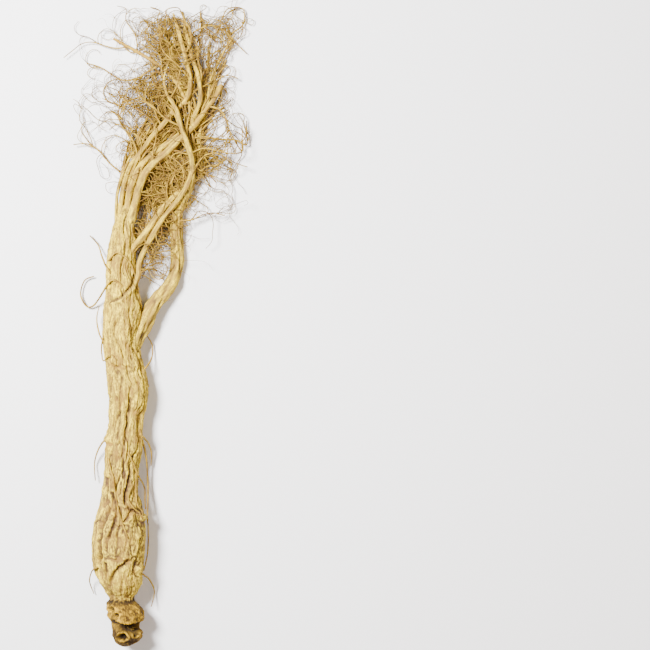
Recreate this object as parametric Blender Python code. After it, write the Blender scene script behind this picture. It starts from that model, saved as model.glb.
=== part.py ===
# A dried ginseng root lying on its side: knobbly rhizome head, ridged main root, side branch,
# long branch roots and a beard of rootlets. It grew as one piece, so it is one solid.
#
# Lengths below are in millimetres and are turned into metres by MM. "Along" is the distance
# from the neck, where the head meets the main root, towards the tips of the beard (+Y).
# "Side" is the distance to the right of the neck (+X), and heights are above the surface
# that the root rests on.

import math
import random

import bmesh
import bpy
from mathutils import Vector, noise

MM = 0.001
NAME = "ginseng_root"

# The neck is this far from the middle of the whole root's box.
NECK_SIDE = -12.2
NECK_ALONG = -99.1

# Main root and head: along, side, half width, height of the centre line.
DEPTH_TO_WIDTH = 0.88
STATIONS = [
    (-17.6, 1.6, 2.2, 8.4),
    (-16.2, 1.9, 4.0, 8.3),
    (-13.2, 2.3, 5.4, 8.1),
    (-10.9, 1.7, 4.7, 8.1),
    (-9.2, 1.6, 5.3, 8.1),
    (-7.2, 1.6, 6.5, 8.1),
    (-4.4, 1.6, 6.2, 8.0),
    (-1.6, 0.6, 4.6, 7.8),
    (0.0, 0.5, 4.2, 7.8),
    (2.0, 0.0, 5.6, 7.8),
    (5.4, -0.3, 7.7, 7.8),
    (10.9, -1.0, 8.9, 7.8),
    (18.0, -0.9, 9.6, 7.9),
    (27.0, -0.6, 9.1, 7.9),
    (33.0, -0.1, 7.9, 7.6),
    (38.0, -0.5, 6.5, 7.2),
    (45.0, -0.1, 6.1, 6.8),
    (54.0, 0.7, 6.6, 6.5),
    (65.0, 1.4, 6.2, 6.0),
    (72.8, 2.4, 7.1, 5.8),
    (78.2, 1.9, 7.3, 5.8),
    (86.0, 0.6, 6.5, 5.8),
    (95.0, -0.4, 6.5, 5.9),
    (105.0, 0.3, 6.8, 6.2),
    (113.0, 0.1, 5.7, 6.0),
    (121.0, -0.3, 5.3, 5.8),
    (131.0, 0.3, 4.6, 5.6),
    (137.0, 0.6, 3.5, 5.5),
    (141.0, 1.3, 2.1, 5.3),
    (144.6, 2.3, 0.5, 5.2),
]
HEAD_RING_SPACING = 1.6
RING_SPACING = 3.0
HEAD_RINGS_END = 4.0
TRUNK_BEVEL = 12

# Lengthwise ridges of the shrunken skin, the wrinkles between them, and the knobs of the head.
RIDGES = 9
RIDGE_HEIGHT = 1.9
RIDGE_SWING = 1.1
LONG_SWING = 11.0
SHORT_SWING = 4.7
PATCH_LENGTH = 9.0
WRINKLE_HEIGHT = 0.45
HEAD_KNOBS = 0.9
HEAD_KNOB_SIZE = 2.6

# The head turns into the body between these, and the underside is flat from FLAT_FROM of its
# half depth down.
BODY_START = -2.0
BODY_LENGTH = 6.0
FLAT_FROM = 0.80
FLAT_OVER = 0.12

# Deep lengthwise grooves on the upper side: width, depth, and their run as side and along.
GROOVES = [
    (1.1, 1.3, [(-4.8, 42.8), (-3.7, 31.6), (-6.0, 23.1), (-6.8, 14.3)]),
    (1.0, 1.2, [(-1.4, 34.5), (-1.4, 27.2), (-3.2, 21.5)]),
    (1.1, 1.3, [(4.4, 14.6), (-1.4, 10.2), (-3.2, 7.1), (-3.2, 3.7), (-2.4, 0.5)]),
    (0.9, 0.8, [(3.6, 31.0), (4.2, 24.0), (3.2, 18.0)]),
    (0.9, 0.8, [(4.8, 114.6), (1.4, 110.6), (-2.7, 107.4)]),
]

# Folds across the root: along, angle round it, spread in degrees, width, depth.
FOLD_WAVER = 0.8
FOLDS = [
    (3.2, 270.0, 160.0, 0.9, 0.5),
    (14.6, 90.0, 40.0, 1.0, 0.9),
    (32.3, 35.0, 40.0, 1.2, 0.9),
    (46.0, 300.0, 60.0, 1.2, 0.5),
    (60.5, 160.0, 45.0, 1.2, 0.5),
    (83.6, 95.0, 65.0, 1.1, 0.8),
    (99.0, 200.0, 50.0, 1.2, 0.5),
    (124.0, 60.0, 70.0, 1.1, 0.5),
]

# Scars, nubs and hollows: side, along, radius, height (below nought for a hollow), upper side.
SCARS = [
    (-0.3, -9.9, 1.9, -2.2, True),
    (-4.3, -9.0, 1.6, 1.3, True),
    (5.3, -12.0, 2.3, 1.2, True),
    (0.9, -13.4, 1.3, -1.8, True),
    (0.9, -6.0, 1.4, -0.9, True),
    (2.4, -8.0, 2.2, -1.6, False),
    (-0.1, 13.4, 1.2, 1.0, True),
    (-7.5, 14.6, 1.3, -1.2, True),
    (5.6, 11.0, 3.2, 0.7, True),
    (-4.9, 57.5, 1.4, 1.1, True),
    (-3.9, 55.6, 1.0, -0.8, True),
    (-2.7, 86.0, 1.5, 0.8, True),
    (0.0, 112.2, 1.9, 0.8, True),
    (4.5, 68.0, 2.0, -0.8, True),
    (-3.0, 44.0, 1.8, 0.8, False),
    (3.0, 98.0, 1.8, 0.8, False),
]

# Stem scars left standing on the head: foot and top as side, along, height, then radii.
STEM_STUBS = [
    ((-1.6, -6.0, 9.5), (-4.6, -8.4, 12.4), 2.6, 1.5),
    ((4.0, -12.0, 9.0), (6.4, -15.6, 10.6), 2.8, 1.8),
    ((1.5, -13.0, 6.5), (-1.6, -17.0, 5.6), 2.6, 1.6),
    ((3.4, -5.0, 8.0), (8.0, -6.6, 7.0), 2.6, 1.7),
]
STUB_SPACING = 2.0
STUB_BEVEL = 3

# Branch roots: points as side, along, height and radius, from inside what they grow from.
SIDE_BRANCH = [
    (3.2, 90.5, 5.6, 3.0),
    (7.1, 98.3, 5.0, 3.0),
    (10.2, 104.4, 4.2, 2.9),
    (13.6, 109.6, 3.4, 2.7),
    (17.2, 113.9, 2.6, 2.6),
    (19.4, 119.7, 2.0, 2.45),
    (19.8, 126.5, 1.9, 2.35),
    (19.4, 134.7, 2.0, 2.2),
    (20.1, 142.0, 2.4, 1.8),
    (21.4, 147.5, 2.8, 1.2),
]
BRANCH_SPACING = 4.0
BRANCH_BEVEL = 3
BRANCH_SWELL = 0.12
SWELL_SIZE = 2.2
STRANDS = {
    "thick": [
        (1.2, 130.0, 6.0, 1.8), (3.2, 137.6, 6.2, 1.7), (5.0, 143.6, 6.1, 1.5),
        (6.8, 151.3, 5.6, 1.5), (9.5, 156.2, 5.2, 1.5), (15.0, 161.1, 4.6, 1.45),
        (20.4, 166.4, 4.0, 1.3), (26.2, 172.3, 3.6, 1.1), (29.9, 177.4, 3.2, 0.95),
        (34.0, 182.9, 2.9, 0.9), (35.4, 185.6, 2.8, 1.15), (36.2, 187.4, 2.8, 0.6),
    ],
    "second": [
        (0.6, 130.0, 5.8, 1.6), (1.8, 139.0, 5.7, 1.4), (2.9, 148.4, 4.8, 1.15),
        (5.8, 156.2, 4.2, 1.2), (11.9, 162.4, 3.4, 1.2), (19.0, 167.6, 2.6, 1.1),
        (24.4, 173.0, 2.4, 1.0), (28.3, 181.0, 3.0, 0.9), (28.0, 189.5, 3.6, 0.85),
        (25.2, 198.0, 3.4, 0.75), (23.4, 206.5, 2.8, 0.6), (22.0, 213.0, 2.0, 0.35),
    ],
    "inner": [
        (-0.8, 130.0, 5.4, 1.4), (-0.6, 139.4, 5.0, 1.15), (0.4, 150.6, 3.8, 0.9),
        (3.8, 159.4, 3.0, 0.9), (10.4, 166.6, 2.2, 0.9), (15.6, 172.4, 2.0, 0.85),
        (19.0, 177.4, 2.4, 0.85), (23.6, 182.4, 3.4, 0.85), (25.0, 188.9, 4.4, 0.85),
        (22.8, 198.2, 4.6, 0.8), (20.6, 206.4, 3.8, 0.65), (18.4, 213.6, 2.6, 0.35),
    ],
    "outer": [
        (-1.6, 131.0, 4.6, 0.9), (-2.4, 140.4, 3.9, 0.65), (-1.4, 150.6, 2.8, 0.5),
        (2.4, 160.6, 2.0, 0.45), (7.8, 168.0, 1.5, 0.45), (13.6, 173.6, 1.4, 0.45),
        (19.0, 180.6, 1.5, 0.4), (22.4, 189.0, 1.7, 0.3), (23.4, 195.0, 1.9, 0.2),
    ],
    "stub": [
        (0.2, 131.0, 4.4, 1.1), (0.9, 142.0, 3.6, 0.95), (3.4, 156.0, 2.6, 0.85),
        (9.4, 166.4, 3.4, 0.95), (14.4, 172.0, 4.0, 0.95), (18.6, 177.2, 4.4, 0.85),
    ],
    "crossing": [
        (20.0, 139.0, 2.4, 1.3), (23.0, 146.4, 3.2, 1.3), (25.5, 153.0, 4.4, 1.2),
        (25.4, 159.4, 6.0, 1.1), (23.8, 165.8, 7.2, 1.0), (21.6, 171.6, 7.0, 0.9),
        (19.9, 178.0, 6.0, 0.75), (16.4, 183.6, 5.0, 0.5), (15.2, 189.4, 4.2, 0.35),
        (17.0, 196.0, 3.4, 0.2),
    ],
    "branch_end": [
        (20.2, 140.0, 2.4, 1.4), (23.8, 148.0, 2.2, 1.3), (26.6, 156.4, 2.0, 1.1),
        (27.6, 165.0, 1.8, 0.95), (28.6, 172.0, 1.7, 0.8), (31.0, 180.2, 1.7, 0.65),
        (32.4, 189.6, 1.9, 0.5), (36.6, 198.8, 1.9, 0.4), (41.0, 206.0, 1.6, 0.2),
    ],
    "front": [
        (3.0, 110.0, 7.0, 0.9), (5.9, 116.3, 7.4, 1.0), (6.6, 121.6, 7.2, 1.0),
        (9.6, 129.0, 6.4, 1.05), (14.6, 137.4, 5.6, 1.05), (21.0, 145.6, 5.0, 1.0),
        (24.4, 151.6, 5.4, 0.9), (26.4, 160.6, 4.2, 0.7), (25.2, 170.2, 3.0, 0.5),
        (22.0, 178.2, 2.0, 0.3),
    ],
    "front_pair": [
        (1.6, 123.0, 7.2, 1.2), (5.0, 128.0, 7.0, 1.3), (9.3, 133.4, 5.8, 1.3),
        (14.4, 141.4, 4.6, 1.2), (20.4, 147.8, 3.8, 1.0), (24.8, 153.2, 3.0, 0.7),
        (29.0, 159.4, 2.0, 0.4), (32.0, 166.0, 1.4, 0.2),
    ],
    "top_left": [
        (25.2, 174.0, 2.6, 0.7), (24.0, 181.4, 2.0, 0.7), (20.2, 189.6, 1.7, 0.6),
        (18.0, 198.4, 1.7, 0.5), (19.2, 207.6, 1.8, 0.25),
    ],
    "brown_tip": [
        (23.2, 180.0, 3.2, 0.7), (20.6, 186.6, 2.6, 0.7), (14.6, 193.4, 2.0, 0.65),
        (6.8, 198.6, 1.9, 0.6), (0.4, 202.2, 2.0, 0.6), (-3.6, 204.4, 2.2, 0.45),
    ],
    "low": [
        (0.6, 133.0, 4.6, 0.7), (3.6, 141.0, 3.0, 0.65), (7.0, 148.4, 1.9, 0.6),
        (11.8, 155.4, 1.4, 0.5), (15.0, 163.0, 1.3, 0.35), (14.0, 171.0, 1.5, 0.2),
    ],
}
STRAND_SPACING = 6.0
STOUT_STRAND = 1.05

# Rootlets that lie on or beside the main root: side and along, with a height over its skin.
TRUNK_ROOTLETS = [
    (0.42, [(2.0, 112.0), (-2.6, 115.4), (-6.8, 111.2), (-10.8, 106.4), (-13.6, 106.0),
            (-15.8, 110.2), (-14.4, 115.4), (-11.0, 117.0)]),
    (0.40, [(-5.0, 121.6), (-1.6, 125.2), (1.8, 123.6), (4.2, 120.2), (5.4, 114.6),
            (6.6, 109.0), (7.4, 102.6)]),
    (0.38, [(-2.8, 117.0), (-5.6, 120.6), (-7.6, 124.2), (-9.4, 128.6), (-12.4, 132.0)]),
    (0.52, [(-4.8, 52.0), (-3.6, 46.9), (-2.3, 44.0), (-1.9, 40.5), (-0.7, 34.7), (1.0, 29.2),
            (3.5, 22.6)]),
    (0.40, [(4.8, 42.0), (3.2, 37.6), (3.5, 35.3), (5.8, 32.3), (7.2, 31.0), (8.2, 29.0)]),
    (0.40, [(6.6, 62.0), (8.6, 52.0), (9.2, 40.6), (9.6, 28.6), (9.6, 17.0), (8.2, 9.6)]),
    (0.34, [(-5.6, 57.6), (-8.6, 54.0), (-10.6, 48.4), (-10.2, 42.0)]),
    (0.34, [(-5.0, 92.0), (-8.2, 95.6), (-9.6, 101.2), (-8.6, 106.0)]),
    (0.36, [(7.6, 82.0), (10.2, 86.0), (10.6, 91.4), (8.6, 95.6)]),
    (0.34, [(5.8, 60.0), (8.6, 57.6), (10.4, 52.8), (10.2, 47.4)]),
    (0.32, [(-7.0, 12.0), (-10.4, 9.8), (-12.2, 5.0), (-11.0, 0.2)]),
    (0.32, [(7.0, 10.0), (9.8, 6.6), (11.4, 1.4), (10.6, -4.0)]),
    (0.42, [(5.4, 46.5), (5.5, 40.5), (5.9, 35.6), (6.8, 33.0), (7.9, 31.6), (8.3, 29.6)]),
    (0.42, [(2.6, 54.0), (5.1, 47.9), (6.6, 43.5), (8.2, 39.4), (8.5, 35.0), (8.8, 32.0)]),
]
ROOTLET_SPACING = 4.5
ROOTLET_SINK = 1.6  # how deep it starts below the skin
ROOTLET_LIFT = 0.75  # how high it lies over the skin, in radii
ROOTLET_TAPER = 0.45
ROOTLET_DROP = 1.2  # how steeply it falls beside the main root
ROOTLET_LOWEST = 1.2

# The beard: rootlets that leave the branch roots and curl, all the way out to their tips.
BEARD_SEED = 17
BEARD_PER_STRAND = 4
BEARD_PER_THIN_STRAND = 3
BEARD_START = 0.35
BEARD_SPAN = 0.62
BEARD_TURN = (0.45, 1.1)
BEARD_LENGTH = (15.0, 34.0)
BEARD_RADIUS = (0.26, 0.42)
BEARD_TAPER = 0.5
BEARD_BEND = 0.35
BEARD_WAVE = 0.45
BEARD_CLIMB = (-0.22, 0.30)
BEARD_STEPS = 6
BEARD_LOWEST = 1.0
BEARD_TOP = 9.0
BEARD_SIDE_LIMITS = (-19.0, 43.0)
BEARD_ALONG_LIMIT = 214.0

SHORTEST_EDGE = 0.08
SKIN_COLOUR = (0.665, 0.515, 0.256, 1.0)
SKIN_ROUGHNESS = 0.72


def clear_scene():
    for obj in list(bpy.data.objects):
        bpy.data.objects.remove(obj, do_unlink=True)


def hermite(a, b, c, d, t):
    # Smooth step from b to c, steered by their neighbours a and d.
    out_slope = 0.5 * (c - a)
    in_slope = 0.5 * (d - b)
    rise = t * t * (3.0 - 2.0 * t)
    return (
        b + (c - b) * rise
        + out_slope * (t * t * t - 2.0 * t * t + t)
        + in_slope * (t * t * t - t * t)
    )


def station(along):
    # Side, half width and centre height of the main root at a distance from the neck.
    last = len(STATIONS) - 1
    i = 0
    while i < last - 1 and along > STATIONS[i + 1][0]:
        i += 1
    rows = [STATIONS[max(i - 1, 0)], STATIONS[i], STATIONS[i + 1], STATIONS[min(i + 2, last)]]
    span = rows[2][0] - rows[1][0]
    t = min(max((along - rows[1][0]) / span, 0.0), 1.0)
    return [hermite(*(row[k] for row in rows), t) for k in (1, 2, 3)]


def smooth_route(points, spacing):
    # Points about one spacing apart on a smooth curve through the given ones.
    route = []
    last = len(points) - 1
    for i in range(last):
        rows = [points[max(i - 1, 0)], points[i], points[i + 1], points[min(i + 2, last)]]
        length = math.dist(rows[1][:3], rows[2][:3])
        steps = max(1, round(length / spacing))
        for j in range(steps):
            route.append([hermite(*column, j / steps) for column in zip(*rows)])
    route.append(list(points[last]))
    return route


def distance_to_run(side, along, run):
    best = math.inf
    place = Vector((side, along))
    for start, end in zip(run, run[1:]):
        a = Vector(start)
        step = Vector(end) - a
        t = min(max((place - a).dot(step) / step.length_squared, 0.0), 1.0)
        best = min(best, (place - a - step * t).length)
    return best


def ridge_relief(along, angle):
    # Rounded ridges with narrow valleys that wander round the root and run into each other.
    swing = math.sin(along / LONG_SWING + 1.7 * math.sin(angle))
    swing += 0.5 * math.sin(along / SHORT_SWING + 2.0 * angle)
    ridge = abs(math.sin(0.5 * RIDGES * angle + RIDGE_SWING * swing)) - 0.6
    place = Vector((2.0 * math.cos(angle), along / PATCH_LENGTH, 2.0 * math.sin(angle)))
    strength = 0.75 + 0.5 * noise.noise(place)
    return RIDGE_HEIGHT * ridge * strength + WRINKLE_HEIGHT * noise.noise(3.0 * place)


def fold_relief(along, angle):
    depth = 0.0
    for fold_along, fold_angle, spread, width, fold_depth in FOLDS:
        off = (math.degrees(angle) - fold_angle + 180.0) % 360.0 - 180.0
        across = math.exp(-((off / spread) ** 2))
        waver = FOLD_WAVER * math.sin(math.radians(off) * 2.5)
        depth -= fold_depth * across * math.exp(-(((along - fold_along - waver) / width) ** 2))
    return depth


def scar_relief(side, along, upper):
    height = 0.0
    for scar_side, scar_along, radius, scar_height, scar_upper in SCARS:
        if scar_upper == upper:
            away = math.hypot(side - scar_side, along - scar_along) / radius
            height += scar_height * math.exp(-(away ** 2))
    if upper:
        for width, depth, run in GROOVES:
            away = distance_to_run(side, along, run) / width
            height -= depth * math.exp(-(away ** 2))
    return height


def head_relief(side, along, height):
    # The head is knobs and torn fibres instead of ridges.
    place = Vector((side, along, height)) / HEAD_KNOB_SIZE
    return HEAD_KNOBS * noise.noise(place) + 0.5 * HEAD_KNOBS * noise.noise(2.3 * place)


def shape_skin(mesh):
    # Raises the relief on the plain round sweep, and flattens what it rests on.
    for vertex in mesh.vertices:
        side, along, height = (c / MM for c in vertex.co)
        centre_side, half_width, centre_height = station(along)
        out_side = side - centre_side
        out_height = height - centre_height
        angle = math.atan2(out_height, out_side)
        reach = math.hypot(out_side, out_height)
        body = min(max((along - BODY_START) / BODY_LENGTH, 0.0), 1.0)
        taper = min(max((half_width - 1.0) / 5.0, 0.2), 1.0)
        under = min(max((-math.sin(angle) - FLAT_FROM) / FLAT_OVER, 0.0), 1.0) * body
        relief = body * taper * (ridge_relief(along, angle) + fold_relief(along, angle))
        relief += (1.0 - body) * head_relief(side, along, height) * taper
        relief += scar_relief(side, along, out_height > 0.0) * min(1.0, 2.0 * taper)
        scale = (reach + relief * (1.0 - under)) / max(reach, 1e-6)
        new_height = centre_height + out_height * scale * DEPTH_TO_WIDTH
        vertex.co.x = (centre_side + out_side * scale) * MM
        vertex.co.z = max(new_height, 0.0) * MM


def tube(name, route, bevel, material, collection):
    # A closed tube of changing radius along a route of side, along, height and radius.
    curve = bpy.data.curves.new(name, "CURVE")
    curve.dimensions = "3D"
    curve.bevel_depth = MM
    curve.bevel_resolution = bevel
    curve.use_fill_caps = True
    spline = curve.splines.new("POLY")
    spline.points.add(len(route) - 1)
    for point, (side, along, height, radius) in zip(spline.points, route):
        point.co = (side * MM, along * MM, height * MM, 1.0)
        point.radius = radius
    sweep = bpy.data.objects.new(name + "_sweep", curve)
    collection.objects.link(sweep)
    depsgraph = bpy.context.evaluated_depsgraph_get()
    mesh = bpy.data.meshes.new_from_object(sweep.evaluated_get(depsgraph))
    bpy.data.objects.remove(sweep, do_unlink=True)
    bm = bmesh.new()
    bm.from_mesh(mesh)
    bmesh.ops.remove_doubles(bm, verts=bm.verts, dist=0.002 * MM)
    bmesh.ops.recalc_face_normals(bm, faces=bm.faces)
    bmesh.ops.triangulate(bm, faces=bm.faces)
    bm.to_mesh(mesh)
    bm.free()
    mesh.materials.clear()
    mesh.materials.append(material)
    obj = bpy.data.objects.new(name, mesh)
    collection.objects.link(obj)
    return obj


def rest_on_surface(obj):
    # The lowest skin is pressed flat where it meets the surface.
    for vertex in obj.data.vertices:
        vertex.co.z = max(vertex.co.z, 0.0)


def main_root(material, collection):
    alongs = []
    along = STATIONS[0][0]
    while along < STATIONS[-1][0]:
        alongs.append(along)
        along += HEAD_RING_SPACING if along < HEAD_RINGS_END else RING_SPACING
    alongs.append(STATIONS[-1][0])
    route = []
    for along in alongs:
        side, half_width, height = station(along)
        route.append((side, along, height, half_width))
    root = tube(NAME, route, TRUNK_BEVEL, material, collection)
    shape_skin(root.data)
    return root


def over_trunk(side, along, lift):
    # Height of a rootlet that lies on the main root, or beside it.
    centre_side, half_width, centre_height = station(along)
    beyond = abs(side - centre_side) / half_width
    if beyond < 1.0:
        return centre_height + DEPTH_TO_WIDTH * half_width * math.sqrt(1.0 - beyond ** 2) + lift
    return max(centre_height - ROOTLET_DROP * (beyond - 1.0) * half_width, ROOTLET_LOWEST)


def trunk_rootlets(material, collection):
    for i, (radius, run) in enumerate(TRUNK_ROOTLETS):
        points = []
        for j, (side, along) in enumerate(run):
            lift = -ROOTLET_SINK if j == 0 else ROOTLET_LIFT * radius
            thin = radius * (1.0 - ROOTLET_TAPER * j / (len(run) - 1))
            points.append((side, along, over_trunk(side, along, lift), thin))
        tube(f"trunk_rootlet_{i}", smooth_route(points, ROOTLET_SPACING), 0, material, collection)


def branch_roots(material, collection):
    route = smooth_route(SIDE_BRANCH, BRANCH_SPACING)
    branch = tube("side_branch", route, BRANCH_BEVEL, material, collection)
    for vertex in branch.data.vertices:
        swell = 1.0 + BRANCH_SWELL * noise.noise(Vector(vertex.co) / (SWELL_SIZE * MM))
        vertex.co.z = 0.5 * vertex.co.z * (1.0 + swell)
    rest_on_surface(branch)
    for name, points in STRANDS.items():
        bevel = 1 if max(point[3] for point in points) > STOUT_STRAND else 0
        route = smooth_route(points, STRAND_SPACING)
        tube("strand_" + name, route, bevel, material, collection)


def curl(dice, start, heading, length, radius):
    # A rootlet that starts inside a branch root and wanders off, curling as it goes.
    side, along, height = start
    step = length / BEARD_STEPS
    bend = dice.uniform(-BEARD_BEND, BEARD_BEND)
    phase = dice.uniform(0.0, 2.0 * math.pi)
    climb = dice.uniform(*BEARD_CLIMB)
    route = [(side, along, height, radius)]
    for i in range(BEARD_STEPS):
        heading += bend + BEARD_WAVE * math.sin(phase + 1.3 * i)
        if side < BEARD_SIDE_LIMITS[0] or side > BEARD_SIDE_LIMITS[1]:
            heading = math.pi / 2.0
        if along > BEARD_ALONG_LIMIT:
            heading += math.pi / 2.0
        side += step * math.cos(heading)
        along += step * math.sin(heading)
        height += step * climb * math.cos(0.9 * i)
        height = min(max(height, BEARD_LOWEST), BEARD_TOP)
        thin = radius * (1.0 - BEARD_TAPER * (i + 1) / BEARD_STEPS)
        route.append((side, along, height, thin))
    return route


def beard(material, collection):
    dice = random.Random(BEARD_SEED)
    for name, points in STRANDS.items():
        route = smooth_route(points, 2.0)
        stout = max(point[3] for point in points) > STOUT_STRAND
        count = BEARD_PER_STRAND if stout else BEARD_PER_THIN_STRAND
        for i in range(count):
            share = BEARD_START + BEARD_SPAN * (i + dice.uniform(0.1, 0.9)) / count
            k = min(int(share * len(route)), len(route) - 3)
            here, ahead = route[k], route[k + 2]
            heading = math.atan2(ahead[1] - here[1], ahead[0] - here[0])
            turn = dice.uniform(*BEARD_TURN) * (1 if (i + len(name)) % 2 else -1)
            length = dice.uniform(*BEARD_LENGTH)
            radius = min(dice.uniform(*BEARD_RADIUS), 0.9 * here[3])
            run = curl(dice, here[:3], heading + turn, length, radius)
            tube(f"beard_{name}_{i}", run, 0, material, collection)


def join_all(root, limbs):
    union = root.modifiers.new("union", "BOOLEAN")
    union.operation = "UNION"
    union.operand_type = "COLLECTION"
    union.collection = limbs
    union.solver = "MANIFOLD"
    depsgraph = bpy.context.evaluated_depsgraph_get()
    mesh = bpy.data.meshes.new_from_object(root.evaluated_get(depsgraph))
    root.modifiers.clear()
    root.data = mesh
    for obj in list(limbs.objects):
        bpy.data.objects.remove(obj, do_unlink=True)
    bpy.data.collections.remove(limbs)


def melt_short_edges(bm):
    # Joins the ends of each very short edge where that leaves the skin whole.
    for edge in sorted(bm.edges, key=lambda e: e.calc_length()):
        if not edge.is_valid or edge.calc_length() > SHORTEST_EDGE * MM:
            continue
        a, b = edge.verts
        near_a = {e.other_vert(a) for e in a.link_edges}
        near_b = {e.other_vert(b) for e in b.link_edges}
        if len(near_a & near_b) == 2:
            bmesh.ops.pointmerge(bm, verts=[a, b], merge_co=(a.co + b.co) / 2.0)


def keep_outer_skin(bm):
    # Of the closed shells, only the outer one stays: sealed hollows fill, and scraps drop.
    shells = []
    unseen = set(bm.faces)
    while unseen:
        shell = []
        queue = [unseen.pop()]
        while queue:
            face = queue.pop()
            shell.append(face)
            touching = {other for edge in face.edges for other in edge.link_faces}
            queue.extend(touching & unseen)
            unseen -= touching
        shells.append(shell)
    shells.sort(key=len)
    scraps = [face for shell in shells[:-1] for face in shell]
    bmesh.ops.delete(bm, geom=scraps, context="FACES")


def clean_skin(mesh):
    bm = bmesh.new()
    bm.from_mesh(mesh)
    bmesh.ops.triangulate(bm, faces=bm.faces)
    keep_outer_skin(bm)
    melt_short_edges(bm)
    bm.to_mesh(mesh)
    bm.free()


def place_in_frame(mesh):
    # The origin is on the surface below the middle of the root's box.
    for vertex in mesh.vertices:
        vertex.co.x += NECK_SIDE * MM
        vertex.co.y += NECK_ALONG * MM


def skin_material():
    material = bpy.data.materials.new("dried_root_skin")
    material.use_nodes = True
    shader = material.node_tree.nodes["Principled BSDF"]
    shader.inputs["Base Color"].default_value = SKIN_COLOUR
    shader.inputs["Roughness"].default_value = SKIN_ROUGHNESS
    shader.inputs["Metallic"].default_value = 0.0
    return material


def build():
    clear_scene()
    parts = bpy.data.collections.new("ginseng")
    limbs = bpy.data.collections.new("limbs")
    bpy.context.scene.collection.children.link(parts)
    bpy.context.scene.collection.children.link(limbs)
    material = skin_material()
    root = main_root(material, parts)
    for i, (foot, top, foot_radius, top_radius) in enumerate(STEM_STUBS):
        route = [(*foot, foot_radius), (*top, top_radius)]
        tube(f"stem_stub_{i}", smooth_route(route, STUB_SPACING), STUB_BEVEL, material, limbs)
    branch_roots(material, limbs)
    trunk_rootlets(material, limbs)
    beard(material, limbs)
    join_all(root, limbs)
    clean_skin(root.data)
    place_in_frame(root.data)
    root.data.shade_smooth()
    root.data.set_sharp_from_angle(angle=math.radians(50.0))


build()
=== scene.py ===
import math
import random

import bpy
import numpy as np
from mathutils.bvhtree import BVHTree
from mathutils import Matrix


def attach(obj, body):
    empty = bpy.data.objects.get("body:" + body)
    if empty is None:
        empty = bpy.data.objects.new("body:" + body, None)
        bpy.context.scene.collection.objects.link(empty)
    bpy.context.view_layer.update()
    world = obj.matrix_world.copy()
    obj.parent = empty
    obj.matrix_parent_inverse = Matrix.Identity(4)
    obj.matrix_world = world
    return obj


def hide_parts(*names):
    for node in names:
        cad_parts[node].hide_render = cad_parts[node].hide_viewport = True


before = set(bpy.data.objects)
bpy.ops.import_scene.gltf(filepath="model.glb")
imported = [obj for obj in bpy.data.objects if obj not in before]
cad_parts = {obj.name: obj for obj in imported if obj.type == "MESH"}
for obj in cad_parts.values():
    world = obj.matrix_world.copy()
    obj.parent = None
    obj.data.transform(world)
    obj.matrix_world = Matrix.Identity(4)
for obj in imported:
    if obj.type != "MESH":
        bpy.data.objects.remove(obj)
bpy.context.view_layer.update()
mm = 0.001
neckPlace = (-12.2, -99.1)  # where the neck is in the frame

# smooth noise
noiseCells = 256
noiseGain = 1.6  # brings the noise to about -1 to 1
noiseDice = np.random.default_rng(11)
noiseOrder = noiseDice.permutation(noiseCells)
noiseLean = noiseDice.normal(size=(noiseCells, 3))
noiseLean /= np.linalg.norm(noiseLean, axis=1, keepdims=True)


def softNoise(points):
    # the noise at each row of an (n, 3) array
    points = np.asarray(points, dtype=float)
    base = np.floor(points).astype(int)
    part = points - base
    fade = part ** 3 * (part * (part * 6 - 15) + 10)
    total = np.zeros(len(points))
    for corner in range(8):
        step = np.array([corner & 1, corner >> 1 & 1, corner >> 2 & 1])
        cell = (base + step) % noiseCells
        pick = noiseOrder[cell[:, 0]]
        for axis in (1, 2):
            pick = noiseOrder[(pick + cell[:, axis]) % noiseCells]
        weight = np.prod(np.where(step == 1, fade, 1 - fade), axis=1)
        total += weight * np.einsum("ij,ij->i", noiseLean[pick], part - step)
    return noiseGain * total


def stretched(points, across, lengthwise, shift=0):
    # points squeezed so that noise comes out as streaks along the root
    return points / np.array([across, across, lengthwise]) + shift


def ease(low, high, value):
    # rises smoothly from 0 at low to 1 at high
    t = np.clip((value - low) / (high - low), 0, 1)
    return t * t * (3 - 2 * t)


# smooth curves through given points
def curveBetween(a, b, c, d, t):
    # from b at t = 0 to c at t = 1, with slopes that suit the points before and after
    rise = t * t * (3 - 2 * t)
    outSlope = 0.5 * (c - a) * (t ** 3 - 2 * t * t + t)
    inSlope = 0.5 * (d - b) * (t ** 3 - t * t)
    return b + (c - b) * rise + outSlope + inSlope


def smoothRoute(points, spacing):
    # the same curve as the solid's, with points as close as spacing
    rows = np.asarray(points, dtype=float)
    route = []
    last = len(rows) - 1
    for i in range(last):
        a, b, c, d = rows[max(i - 1, 0)], rows[i], rows[i + 1], rows[min(i + 2, last)]
        steps = max(1, round(float(np.linalg.norm(c[:3] - b[:3])) / spacing))
        route.extend(curveBetween(a, b, c, d, j / steps) for j in range(steps))
    route.append(rows[last])
    return np.array(route)


def distanceToRun(side, along, run):
    # distance to a line of points, and which side of it: above nought is its left
    best = np.full(len(side), 1e9)
    sign = np.ones(len(side))
    for (x0, y0), (x1, y1) in zip(run, run[1:]):
        dx, dy = x1 - x0, y1 - y0
        t = np.clip(((side - x0) * dx + (along - y0) * dy) / (dx * dx + dy * dy), 0, 1)
        away = np.hypot(side - x0 - t * dx, along - y0 - t * dy)
        nearer = away < best
        best = np.where(nearer, away, best)
        sign = np.where(nearer, np.sign(dx * (along - y0) - dy * (side - x0)), sign)
    return best, sign


# making objects
def addToScene(name, data):
    obj = bpy.data.objects.new(name, data)
    bpy.context.scene.collection.objects.link(obj)
    return obj


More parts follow.
